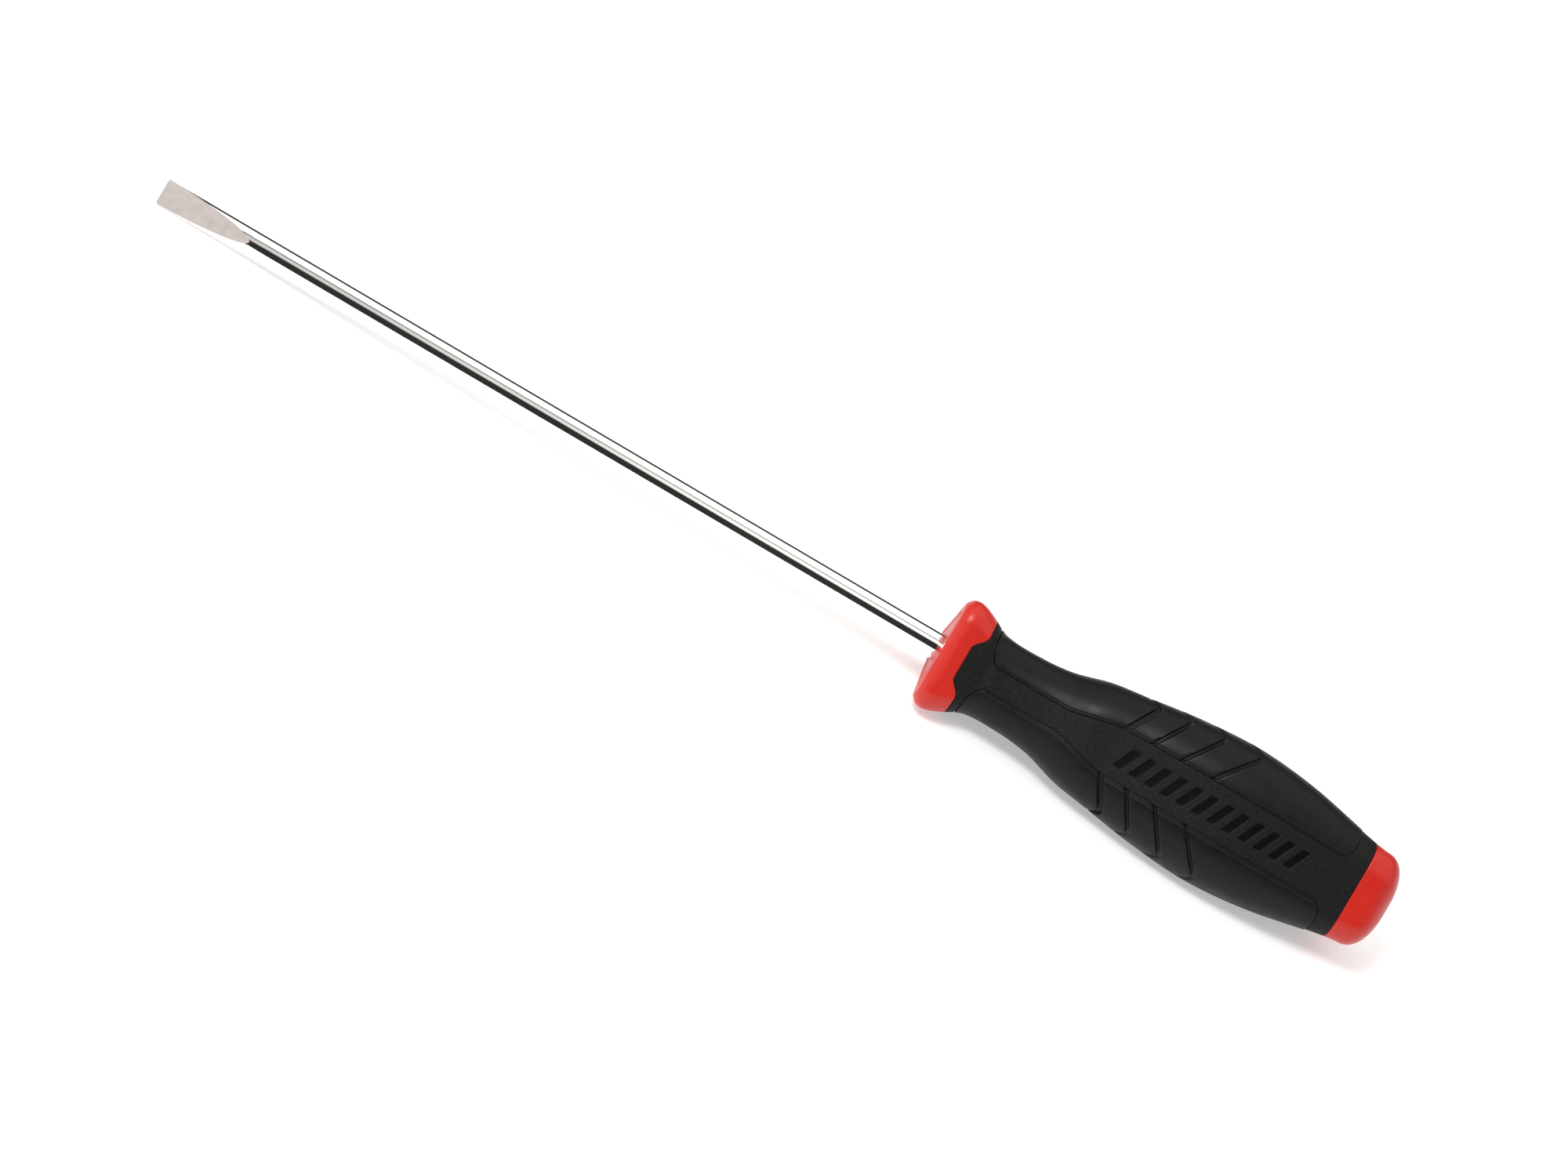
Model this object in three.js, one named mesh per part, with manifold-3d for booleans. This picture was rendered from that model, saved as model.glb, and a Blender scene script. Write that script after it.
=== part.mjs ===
// A slotted screwdriver with a soft three-lobed handle. Units are millimetres, +Z is up.
//
// Frame: the origin is the centre of the tip's end face and +X runs out of the tip along the
// tool's axis. One flat of the handle faces straight down, so one lobe stands at the top.
// "back" is a distance behind the collar's front face, measured towards the butt.

import * as THREE from 'three';
import { mergeVertices } from 'three/addons/utils/BufferGeometryUtils.js';
import Module from 'manifold-3d';

const wasm = await Module();
wasm.setup();

// ---- Driving dimensions --------------------------------------------------------------------

const GAP = 0.3; // air between neighbouring pieces

// Blade: a 1/4 in bar, 8 in of it in front of the collar.
const BLADE_LENGTH = 203.2;
const SHANK_RADIUS = 3.175;
const TIP_THICKNESS = 1.05;
const TIP_TAPER_LENGTH = 22.5;
const TIP_CHAMFER = 0.35;
const TIP_ROLL = -Math.PI / 3; // the wide flats lie parallel to the handle flat on the +Y side
const TANG_LENGTH = 76; // length of bar inside the handle
const TANG_CHAMFER = 0.8;
const WING_BACK = 44; // front of the tang's wings
const WING_LENGTH = 14;
const WING_SPAN = 11;
const WING_THICKNESS = 2.2;

// Handle: stations of [back, size]. The section is a triangle with rounded corners.
const HALF_WIDTH = [
  [0, 13.1], [3.2, 13.75], [8, 12.0], [12, 10.0], [20, 9.6], [29, 10.4], [38, 12.9],
  [46, 14.1], [60, 16.1], [75, 17.05], [90, 15.7], [108.5, 12.1], [118, 11.2],
];
const FLAT_HALF_WIDTH = [
  [0, 8.0], [5.7, 8.0], [13, 2.6], [15, 2.6], [30, 2.6], [32, 2.7], [43.5, 5.35],
  [46, 5.55], [75, 5.8], [108.5, 5.5], [118, 5.0],
];
const LOBES = 3;
const LOBE_STEP = (2 * Math.PI) / LOBES;
const TOP_LOBE = Math.PI / 2;

// Front collar
const COLLAR_BEVEL = 1.2;
const COLLAR_BEVEL_INSET = 0.9;
const COLLAR_CREST_BACK = 3.2; // where the collar is widest
const COLLAR_SEAM_RING_BACK = 4.6; // behind this ring the collar's skin leans towards the seam
const COUNTERBORE_BACK = 4.2; // where the collar's deep rear socket for the core begins
const SOCKET_RIM_BACK = 7.0;

// The seam between collar and grip: a tongue of grip reaches forward on each flat.
const TONGUE_BACK = 5.6;
const SEAM_BACK = 8.2;
const TONGUE_HALF_ANGLE = THREE.MathUtils.degToRad(22);
const TONGUE_ROOT_ANGLE = THREE.MathUtils.degToRad(42);

// Core and grip
const CORE_FRONT = COUNTERBORE_BACK + GAP;
const CORE_REAR = 107.9;
const CORE_NOSE_RADIUS = 6.4;
const CORE_NOSE_BACK = 10; // behind this the core widens into the three-lobed section
const CORE_FULL_BACK = 12.5;
const CORE_INSET = 3.0; // depth of the core under the grip's outer surface
const GRIP_REAR = 108.2;
const CAP_FRONT = GRIP_REAR + GAP;

// Raised pads, one set on each lobe
const PAD_RAISE = 0.25;
const PAD_DEPTH = 1.2;
const PAD_MARGIN = 0.15; // from the edge of a flat to the edge of its pad
const NECK_PAD_FRONT = 10.2;
const NECK_PAD_CHEVRON = 2.8; // how much further back the front edge lies beside a flat
const NECK_PAD_FRONT_POWER = 3.5;
const PALM_PAD_REAR = 104;
const PALM_PAD_CORNER = 2.8;
const PALM_PAD_REAR_POWER = 6;

// Slanting grooves: the first one parts the neck pad from the palm pad.
const GROOVE_FIRST_BACK = 44.3; // where the first groove leaves the edge of the flat
const GROOVE_FIRST_PITCH = 6.7;
const GROOVE_PITCH_STEP = 0.7; // how much each space is longer than the one before
const GROOVE_COUNT = 4;
const GROOVE_WIDTH = 1.5;
const GROOVE_DEPTH = 0.55;
const GROOVE_FLANK = 0.35;
const GROOVE_FIRST_REACH = 5; // how far back the groove has swept when it meets the crest
const GROOVE_REACH_STEP = 1.3;

// End cap
const CAP_SHOULDER = 111.7; // where the dome begins
const BUTT_BACK = 118.2;
const DOME_FULLNESS = 2.3; // 2 is an ellipse, and more is squarer
const SPIGOT_RADIUS = 4;
const SPIGOT_FRONT = 102;

// Facets
const RING_SIDES = 48;
const BORE_SIDES = 48;
const PAD_COLUMNS = 10;
const NECK_ROWS = 8;
const PALM_ROWS = 6;
const DOME_STEPS = 6;
const DOME_LAST_ANGLE = 0.48 * Math.PI; // the last dome ring, just short of the butt's middle
// Backs of the rings that carry the long surfaces
const CORE_STATIONS = [CORE_FULL_BACK, 20, 30, 38, 46, 54, 62, 70, 78, 86, 94, 101];
const GRIP_STATIONS = [
  10.2, 13, 16, 21, 26, 30, 34, 38, 42, 46, 52, 58, 64, 70, 76, 82, 88, 94, 99, 104,
];
const POCKET_OUTSIDE = -3; // inset of a pocket cutter's top, well clear of the surface

// ---- Handle surface ------------------------------------------------------------------------

// A smooth curve through the stations (cubic, with slopes taken from the neighbours).
function smoothThrough(stations, back) {
  const last = stations.length - 1;
  const clamped = THREE.MathUtils.clamp(back, stations[0][0], stations[last][0]);
  let i = 0;
  while (i < last - 1 && clamped > stations[i + 1][0]) {
    i += 1;
  }
  const slope = (k) => {
    const from = stations[Math.max(k - 1, 0)];
    const to = stations[Math.min(k + 1, last)];
    return (to[1] - from[1]) / (to[0] - from[0]);
  };
  const [x0, y0] = stations[i];
  const [x1, y1] = stations[i + 1];
  const span = x1 - x0;
  const t = (clamped - x0) / span;
  const rise = y1 - y0;
  const bend0 = slope(i) * span - rise;
  const bend1 = slope(i + 1) * span - rise;
  return y0 + t * rise + t * (1 - t) * ((1 - t) * bend0 - t * bend1);
}

// Corner circle and flat of the section at one station, with its surface pushed in by inset.
function sectionAt(back, inset) {
  const flatHalf = smoothThrough(FLAT_HALF_WIDTH, back);
  const cornerRadius = smoothThrough(HALF_WIDTH, back) - flatHalf - inset;
  const cornerDistance = flatHalf / Math.sin(LOBE_STEP / 2);
  const flatDistance = cornerDistance * Math.cos(LOBE_STEP / 2) + cornerRadius;
  return { flatHalf, cornerRadius, cornerDistance, flatDistance };
}

// Angle from the crest of the nearest lobe, 0 at a crest and 60 degrees at the middle of a flat.
function angleFromCrest(angle) {
  const turns = (angle - TOP_LOBE) / LOBE_STEP;
  return Math.abs(turns - Math.round(turns)) * LOBE_STEP;
}

function surfaceRadius(angle, back, inset = 0) {
  const { flatHalf, cornerRadius, cornerDistance, flatDistance } = sectionAt(back, inset);
  const fromCrest = angleFromCrest(angle);
  const fromFlat = LOBE_STEP / 2 - fromCrest;
  if (Math.tan(fromFlat) * flatDistance <= flatHalf) {
    return flatDistance / Math.cos(fromFlat);
  }
  const across = cornerDistance * Math.sin(fromCrest);
  return cornerDistance * Math.cos(fromCrest) + Math.sqrt(cornerRadius ** 2 - across ** 2);
}

function seamBack(angle) {
  const fromFlat = LOBE_STEP / 2 - angleFromCrest(angle);
  const ramp = THREE.MathUtils.smoothstep(fromFlat, TONGUE_HALF_ANGLE, TONGUE_ROOT_ANGLE);
  return THREE.MathUtils.lerp(TONGUE_BACK, SEAM_BACK, ramp);
}

function coreRadius(angle, back, clearance = 0) {
  if (back <= CORE_NOSE_BACK) {
    return CORE_NOSE_RADIUS + clearance;
  }
  return surfaceRadius(angle, back, CORE_INSET - clearance);
}

// ---- Mesh building -------------------------------------------------------------------------

function geometryFrom(points, triangles) {
  const geometry = new THREE.BufferGeometry();
  const positions = points.flatMap((point) => point.toArray());
  geometry.setAttribute('position', new THREE.Float32BufferAttribute(positions, 3));
  geometry.setIndex(triangles);
  return geometry;
}

function signedVolume(points, triangles) {
  let volume = 0;
  for (let i = 0; i < triangles.length; i += 3) {
    const [a, b, c] = triangles.slice(i, i + 3).map((index) => points[index]);
    volume += a.dot(new THREE.Vector3().crossVectors(b, c)) / 6;
  }
  return volume;
}

function closedGeometry(points, triangles) {
  if (signedVolume(points, triangles) < 0) {
    triangles.reverse();
  }
  return geometryFrom(points, triangles);
}

// A closed ring of points round the axis. backOf and radiusOf are numbers or functions of angle.
function ring(backOf, radiusOf) {
  const valueAt = (value, angle) => (typeof value === 'function' ? value(angle) : value);
  const points = [];
  for (let i = 0; i < RING_SIDES; i += 1) {
    const angle = TOP_LOBE + (i / RING_SIDES) * 2 * Math.PI;
    const radius = valueAt(radiusOf, angle);
    const x = -valueAt(backOf, angle);
    points.push(new THREE.Vector3(x, radius * Math.cos(angle), radius * Math.sin(angle)));
  }
  return points;
}

function skinRing(back, inset = 0) {
  return ring(back, (angle) => surfaceRadius(angle, back, inset));
}

// Skins a row of rings. A looped body joins its last ring to its first; any other is capped
// by a fan to the middle of each end ring.
function ringSolid(rings, looped) {
  const sides = rings[0].length;
  const points = rings.flat();
  const triangles = [];
  const bands = looped ? rings.length : rings.length - 1;
  for (let r = 0; r < bands; r += 1) {
    const near = r * sides;
    const far = ((r + 1) % rings.length) * sides;
    for (let i = 0; i < sides; i += 1) {
      const next = (i + 1) % sides;
      triangles.push(near + i, near + next, far + next);
      triangles.push(near + i, far + next, far + i);
    }
  }
  if (!looped) {
    const endRings = [[0, 1], [rings.length - 1, -1]];
    for (const [r, turn] of endRings) {
      const centre = points.length;
      const sum = rings[r].reduce((total, point) => total.add(point), new THREE.Vector3());
      points.push(sum.divideScalar(sides));
      for (let i = 0; i < sides; i += 1) {
        const pair = [r * sides + i, r * sides + ((i + 1) % sides)];
        const [from, to] = turn > 0 ? pair.reverse() : pair;
        triangles.push(centre, from, to);
      }
    }
  }
  return closedGeometry(points, triangles);
}

// A pad-shaped slab on the top lobe. Each row names its back at the edge and at the crest, the
// power of the curve between them and how deep it lies. margin is from the flat to the edge.
function padSolid(rows, { margin, outerInset, innerInset }) {
  const columns = PAD_COLUMNS + 1;
  const layer = (insetOf) => rows.flatMap((row) => {
    const points = [];
    for (let i = 0; i < columns; i += 1) {
      const across = (2 * i) / PAD_COLUMNS - 1;
      const back = row.crest + (row.edge - row.crest) * Math.abs(across) ** row.power;
      const { flatHalf, flatDistance } = sectionAt(back, 0);
      const halfAngle = LOBE_STEP / 2 - Math.atan((flatHalf + margin) / flatDistance);
      const angle = TOP_LOBE + across * halfAngle;
      const radius = surfaceRadius(angle, back, insetOf(row));
      points.push(new THREE.Vector3(-back, radius * Math.cos(angle), radius * Math.sin(angle)));
    }
    return points;
  });
  const outer = layer((row) => outerInset + row.depth);
  const inner = layer(() => innerInset);
  const points = [...outer, ...inner];
  const below = outer.length;
  const triangles = [];
  const quad = (a, b, c, d) => triangles.push(a, b, c, a, c, d);
  for (let r = 0; r < rows.length - 1; r += 1) {
    for (let i = 0; i < PAD_COLUMNS; i += 1) {
      const a = r * columns + i;
      const b = a + columns;
      quad(a, a + 1, b + 1, b);
      quad(below + a, below + b, below + b + 1, below + a + 1);
    }
    const start = r * columns;
    const end = start + PAD_COLUMNS;
    quad(start, start + columns, below + start + columns, below + start);
    quad(end, below + end, below + end + columns, end + columns);
  }
  const lastRow = (rows.length - 1) * columns;
  for (let i = 0; i < PAD_COLUMNS; i += 1) {
    quad(i, below + i, below + i + 1, i + 1);
    quad(lastRow + i, lastRow + i + 1, below + lastRow + i + 1, below + lastRow + i);
  }
  return closedGeometry(points, triangles);
}

// ---- Joining and cutting -------------------------------------------------------------------

function toSolid(geometry) {
  const bare = geometry.clone();
  bare.deleteAttribute('normal');
  bare.deleteAttribute('uv');
  const merged = mergeVertices(bare);
  return new wasm.Manifold(new wasm.Mesh({
    numProp: 3,
    vertProperties: new Float32Array(merged.attributes.position.array),
    triVerts: new Uint32Array(merged.index.array),
  }));
}

function toGeometry(solid) {
  const mesh = solid.getMesh();
  const geometry = new THREE.BufferGeometry();
  geometry.setAttribute('position', new THREE.BufferAttribute(mesh.vertProperties, 3));
  geometry.setIndex(new THREE.BufferAttribute(mesh.triVerts, 1));
  return geometry;
}

// ---- Blade ---------------------------------------------------------------------------------

function barGeometry(grow) {
  const radius = SHANK_RADIUS + grow;
  const tail = BLADE_LENGTH + TANG_LENGTH + grow;
  const outline = [
    [0, 0],
    [radius - TIP_CHAMFER, 0],
    [radius, TIP_CHAMFER],
    [radius, tail - TANG_CHAMFER],
    [radius - TANG_CHAMFER, tail],
    [0, tail],
  ];
  const points = outline.map(([r, along]) => new THREE.Vector2(r, -along));
  const bar = new THREE.LatheGeometry(points.reverse(), BORE_SIDES);
  return bar.rotateZ(-Math.PI / 2);
}

function wingGeometry(grow) {
  const wings = new THREE.BoxGeometry(
    WING_LENGTH + 2 * grow, WING_SPAN + 2 * grow, WING_THICKNESS + 2 * grow,
  );
  return wings.translate(-(BLADE_LENGTH + WING_BACK + WING_LENGTH / 2), 0, 0);
}

// A block whose lower face is one ground flat of the tip, sloping up to the top of the bar.
function tipCutter() {
  const slope = Math.atan((SHANK_RADIUS - TIP_THICKNESS / 2) / TIP_TAPER_LENGTH);
  const length = 2 * TIP_TAPER_LENGTH;
  const height = 4 * SHANK_RADIUS;
  const block = new THREE.BoxGeometry(length, height, height);
  block.translate(0, 0, height / 2);
  block.rotateY(slope);
  return block.translate(0, 0, TIP_THICKNESS / 2);
}

function bladeSolid() {
  const upperCutter = toSolid(tipCutter());
  const lowerCutter = toSolid(tipCutter().rotateX(Math.PI));
  return toSolid(barGeometry(0))
    .add(toSolid(wingGeometry(0)))
    .subtract(upperCutter)
    .subtract(lowerCutter);
}

// ---- Handle pieces (x = -back, so the collar's front face lies at x = 0) ---------------------

function collarGeometry() {
  const bore = SHANK_RADIUS + GAP;
  const socket = CORE_NOSE_RADIUS + GAP;
  const towardsSeam = (share) => {
    const backOf = (angle) => THREE.MathUtils.lerp(COLLAR_SEAM_RING_BACK, seamBack(angle), share);
    return ring(backOf, (angle) => surfaceRadius(angle, backOf(angle)));
  };
  const rings = [
    ring(0, bore),
    skinRing(0, COLLAR_BEVEL_INSET),
    skinRing(COLLAR_BEVEL),
    skinRing(COLLAR_CREST_BACK),
    towardsSeam(0),
    towardsSeam(1 / 3),
    towardsSeam(2 / 3),
    towardsSeam(1),
    ring(SOCKET_RIM_BACK, socket),
    ring(COUNTERBORE_BACK, socket),
    ring(COUNTERBORE_BACK, bore),
  ];
  return ringSolid(rings, true);
}

function coreSkin(clearance, backs) {
  return backs.map((back) => ring(back, (angle) => coreRadius(angle, back, clearance)));
}

function coreSolid() {
  const socket = SPIGOT_RADIUS + GAP;
  const rings = [
    ...coreSkin(0, [CORE_FRONT, CORE_NOSE_BACK, ...CORE_STATIONS, CORE_REAR]),
    ring(CORE_REAR, socket),
    ring(SPIGOT_FRONT - GAP, socket),
  ];
  const tangSpace = toSolid(barGeometry(GAP)).add(toSolid(wingGeometry(GAP)));
  const toHandle = new THREE.Matrix4().makeTranslation(BLADE_LENGTH, 0, 0);
  toHandle.multiply(new THREE.Matrix4().makeRotationX(TIP_ROLL));
  return toSolid(ringSolid(rings, false)).subtract(tangSpace.transform(toHandle.toArray()));
}

// The rings run forward over the outside and back through the bore, so that each wall is split
// into the same triangles as the wall of the neighbour that it faces.
function gripShellGeometry() {
  const frontBack = (angle) => seamBack(angle) + GAP;
  const rings = [
    skinRing(GRIP_REAR),
    ...GRIP_STATIONS.toReversed().map((back) => skinRing(back)),
    ring(frontBack, (angle) => surfaceRadius(angle, frontBack(angle))),
    ring(SOCKET_RIM_BACK + GAP, CORE_NOSE_RADIUS + GAP),
    ...coreSkin(GAP, [CORE_NOSE_BACK, ...CORE_STATIONS, GRIP_REAR]),
  ];
  return ringSolid(rings, true);
}

// ---- Pads ----------------------------------------------------------------------------------

function grooveRow(index, offset, depth) {
  const pitches = index * GROOVE_FIRST_PITCH + (GROOVE_PITCH_STEP * index * (index - 1)) / 2;
  const edge = GROOVE_FIRST_BACK + pitches + offset;
  const crest = edge + GROOVE_FIRST_REACH + index * GROOVE_REACH_STEP;
  return { edge, crest, power: 1, depth };
}

function blendRows(from, to, steps) {
  const mix = THREE.MathUtils.lerp;
  return Array.from({ length: steps }, (_, i) => {
    const share = (i + 1) / (steps + 1);
    return {
      edge: mix(from.edge, to.edge, share),
      crest: mix(from.crest, to.crest, share),
      power: mix(from.power, to.power, share),
      depth: 0,
    };
  });
}

function neckRows(grow) {
  const front = {
    edge: NECK_PAD_FRONT + NECK_PAD_CHEVRON - grow,
    crest: NECK_PAD_FRONT - grow,
    power: NECK_PAD_FRONT_POWER,
    depth: 0,
  };
  const rear = grooveRow(0, grow, 0);
  return [front, ...blendRows(front, rear, NECK_ROWS), rear];
}

function palmRows(grow) {
  const rows = [grooveRow(0, GROOVE_WIDTH - grow, 0)];
  for (let i = 1; i < GROOVE_COUNT; i += 1) {
    rows.push(grooveRow(i, 0, 0));
    rows.push(grooveRow(i, GROOVE_FLANK, GROOVE_DEPTH));
    rows.push(grooveRow(i, GROOVE_WIDTH - GROOVE_FLANK, GROOVE_DEPTH));
    rows.push(grooveRow(i, GROOVE_WIDTH, 0));
  }
  const rear = {
    edge: PALM_PAD_REAR - PALM_PAD_CORNER + grow,
    crest: PALM_PAD_REAR + grow,
    power: PALM_PAD_REAR_POWER,
    depth: 0,
  };
  return [...rows, ...blendRows(rows.at(-1), rear, PALM_ROWS), rear];
}

function padGeometry(rows) {
  return padSolid(rows, { margin: PAD_MARGIN, outerInset: -PAD_RAISE, innerInset: PAD_DEPTH });
}

// The pocket that a pad lies in: the pad grown by the gap and open to the outside.
function pocketSolid(rows) {
  const flatRows = rows.map((row) => ({ ...row, depth: 0 }));
  return toSolid(padSolid(flatRows, {
    margin: PAD_MARGIN - GAP,
    outerInset: POCKET_OUTSIDE,
    innerInset: PAD_DEPTH + GAP,
  }));
}

function gripBodySolid() {
  let grip = toSolid(gripShellGeometry());
  for (let lobe = 0; lobe < LOBES; lobe += 1) {
    const turn = new THREE.Matrix4().makeRotationX(lobe * LOBE_STEP).toArray();
    grip = grip.subtract(pocketSolid(neckRows(GAP)).transform(turn));
    grip = grip.subtract(pocketSolid(palmRows(GAP)).transform(turn));
  }
  return grip;
}

// ---- End cap -------------------------------------------------------------------------------

function endCapGeometry() {
  const shoulder = (angle) => surfaceRadius(angle, CAP_SHOULDER);
  const dome = Array.from({ length: DOME_STEPS }, (_, i) => {
    const rise = ((i + 1) / DOME_STEPS) * DOME_LAST_ANGLE;
    const along = Math.sin(rise) ** (2 / DOME_FULLNESS);
    const across = Math.cos(rise) ** (2 / DOME_FULLNESS);
    const back = THREE.MathUtils.lerp(CAP_SHOULDER, BUTT_BACK, along);
    return ring(back, (angle) => shoulder(angle) * across);
  });
  const rings = [
    ring(SPIGOT_FRONT, SPIGOT_RADIUS),
    ring(CAP_FRONT, SPIGOT_RADIUS),
    skinRing(CAP_FRONT),
    skinRing(CAP_SHOULDER),
    ...dome,
  ];
  return ringSolid(rings, false);
}

// ---- Assembly ------------------------------------------------------------------------------

const chrome = { color: '#d6d4d2', roughness: 0.14, metalness: 1 };
const redPlastic = { color: '#c9141f', roughness: 0.36, metalness: 0 };
const corePlastic = { color: '#8f1119', roughness: 0.5, metalness: 0 };
const blackGrip = { color: '#262425', roughness: 0.78, metalness: 0 };
const blackPad = { color: '#1f1c1c', roughness: 0.6, metalness: 0 };

function namedMesh(name, geometry, look) {
  const mesh = new THREE.Mesh(geometry, new THREE.MeshStandardMaterial(look));
  mesh.name = name;
  return mesh;
}

const screwdriver = new THREE.Group();

const blade = namedMesh('blade', toGeometry(bladeSolid()), chrome);
blade.rotation.x = TIP_ROLL;
screwdriver.add(blade);

const handle = new THREE.Group();
handle.position.x = -BLADE_LENGTH;
handle.add(namedMesh('front_collar', collarGeometry(), redPlastic));
handle.add(namedMesh('handle_core', toGeometry(coreSolid()), corePlastic));
handle.add(namedMesh('grip_body', toGeometry(gripBodySolid()), blackGrip));
handle.add(namedMesh('end_cap', endCapGeometry(), redPlastic));
for (let lobe = 0; lobe < LOBES; lobe += 1) {
  const neckPad = namedMesh(`neck_pad_${lobe + 1}`, padGeometry(neckRows(0)), blackPad);
  const palmPad = namedMesh(`palm_pad_${lobe + 1}`, padGeometry(palmRows(0)), blackPad);
  neckPad.rotation.x = lobe * LOBE_STEP;
  palmPad.rotation.x = lobe * LOBE_STEP;
  handle.add(neckPad, palmPad);
}
screwdriver.add(handle);

export default screwdriver;
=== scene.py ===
import math

import bmesh
import bpy
import numpy as np
from mathutils import Matrix, Vector


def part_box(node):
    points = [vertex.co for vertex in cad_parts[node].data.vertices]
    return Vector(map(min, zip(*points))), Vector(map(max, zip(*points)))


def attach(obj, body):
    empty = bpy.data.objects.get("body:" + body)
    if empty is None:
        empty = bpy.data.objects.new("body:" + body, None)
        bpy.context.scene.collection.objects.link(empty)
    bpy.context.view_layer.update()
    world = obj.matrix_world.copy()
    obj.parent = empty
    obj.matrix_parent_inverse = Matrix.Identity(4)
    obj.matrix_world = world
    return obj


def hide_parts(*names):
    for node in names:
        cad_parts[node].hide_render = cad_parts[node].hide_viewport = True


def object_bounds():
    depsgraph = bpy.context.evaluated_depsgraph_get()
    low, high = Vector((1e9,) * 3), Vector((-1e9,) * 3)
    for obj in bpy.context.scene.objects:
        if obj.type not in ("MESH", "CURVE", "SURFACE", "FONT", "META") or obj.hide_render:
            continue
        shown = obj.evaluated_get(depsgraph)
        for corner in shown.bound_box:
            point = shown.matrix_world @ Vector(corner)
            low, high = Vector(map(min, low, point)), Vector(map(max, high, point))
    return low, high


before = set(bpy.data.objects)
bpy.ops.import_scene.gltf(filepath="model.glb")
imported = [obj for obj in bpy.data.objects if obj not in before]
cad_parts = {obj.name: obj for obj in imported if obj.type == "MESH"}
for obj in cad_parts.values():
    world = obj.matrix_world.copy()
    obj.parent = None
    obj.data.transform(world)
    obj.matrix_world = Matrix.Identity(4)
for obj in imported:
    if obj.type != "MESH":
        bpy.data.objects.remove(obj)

# A slotted screwdriver with a soft three-lobed handle. The tool's axis is the X axis, the tip
# points to +X, and "back" is a distance behind the collar's front face. Shapes are worked out
# in millimetres and scaled to metres when a mesh is made.

MM = 0.001
CAD_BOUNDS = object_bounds()

# ---- Places taken from the frame -----------------------------------------------------------

COLLAR_FRONT_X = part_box("front_collar")[1].x / MM
BUTT_BACK = COLLAR_FRONT_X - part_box("end_cap")[0].x / MM
BLADE_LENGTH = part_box("blade")[1].x / MM - COLLAR_FRONT_X
TANG_LENGTH = COLLAR_FRONT_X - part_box("blade")[0].x / MM

# ---- Shape, mm -----------------------------------------------------------------------------

# Handle stations [back, size], the same outline as the CAD part's.
HALF_WIDTH = np.array([
    [0, 13.1], [3.2, 13.75], [8, 12.0], [12, 10.0], [20, 9.6], [29, 10.4], [38, 12.9],
    [46, 14.1], [60, 16.1], [75, 17.05], [90, 15.7], [108.5, 12.1], [118, 11.2],
])
FLAT_HALF_WIDTH = np.array([
    [0, 8.0], [5.7, 8.0], [13, 2.6], [15, 2.6], [30, 2.6], [32, 2.7], [43.5, 5.35],
    [46, 5.55], [75, 5.8], [108.5, 5.5], [118, 5.0],
])
LOBES = 3
LOBE_STEP = 2 * math.pi / LOBES
TOP_LOBE = math.pi / 2

SHANK_RADIUS = 3.175
TIP_THICKNESS = 1.05
TIP_TAPER_LENGTH = 22.5
TIP_CORNER = 0.45
TIP_ROLL = -math.pi / 3
TANG_CHAMFER = 0.8

TONGUE_BACK = 5.6
SEAM_BACK = 8.2
TONGUE_HALF_ANGLE = math.radians(22)
TONGUE_ROOT_ANGLE = math.radians(42)

PAD_RAISE = 0.18
PAD_DEPTH = 1.2
PAD_MARGIN = 0.15
NECK_PAD_FRONT = 10.2
NECK_PAD_CHEVRON = 2.8
NECK_PAD_FRONT_POWER = 3.5
PALM_PAD_REAR = 104.0
PALM_PAD_CORNER = 2.8
PALM_PAD_REAR_POWER = 6

GROOVE_FIRST_BACK = 44.3
GROOVE_FIRST_PITCH = 6.7
GROOVE_PITCH_STEP = 0.7
GROOVE_COUNT = 4
GROOVE_WIDTH = 1.5
GROOVE_DEPTH = 0.55
GROOVE_FIRST_REACH = 5.0
GROOVE_REACH_STEP = 1.3

CORE_NOSE_RADIUS = 6.4
CORE_NOSE_BACK = 10.0
CORE_INSET = 3.0
SOCKET_RIM_BACK = 7.0  # collar and grip meet inside at this plus the bore clearance
COUNTERBORE_BACK = 4.2
COLLAR_BEVEL_BACK = 1.6
COLLAR_SEAM_RING_BACK = 4.6
GRIP_BORE_FRONT = 10.0
CAP_FRONT = 108.5
CAP_SHOULDER = 111.7
DOME_FULLNESS = 2.3
SPIGOT_RADIUS = 4.0
SPIGOT_FRONT = 102.0

EDGE_ROUND = 0.3  # radius of the rounded edges along every pad and flat
SEAM_ROUND = 0.25  # and along the seams with the collar and the cap
CAP_EDGE_ROUND = 0.3
SHOULDER_WIDTH = 0.62  # a low step runs along the sides of each pad
SHOULDER_RISE = 0.2
SHOULDER_DROP = 0.3
HAIRLINE = 0.04  # air at the seams between pieces; the buried sides of the pads have none
BORE_CLEARANCE = 0.3  # air round the hidden core
SHANK_CLEARANCE = 0.22  # air between the shank and the collar

# Plain recessed bars on the three flats
BAR_COUNT = 12
BAR_FIRST_BACK = 48.6
BAR_PITCH = 4.05
BAR_HALF_LENGTH = 1.15
BAR_HALF_HEIGHT = 3.0
BAR_SLANT = 0.45
BAR_DEPTH = 0.5
BAR_WALL = 0.28
BAR_CORNER = 0.5
BAR_SHADED_FLOOR_SHARE = 0.8  # deeper than this share of the depth counts as a bar's floor, which gets the darker painted-shade material


# ---- Handle surface ------------------------------------------------------------------------

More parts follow.
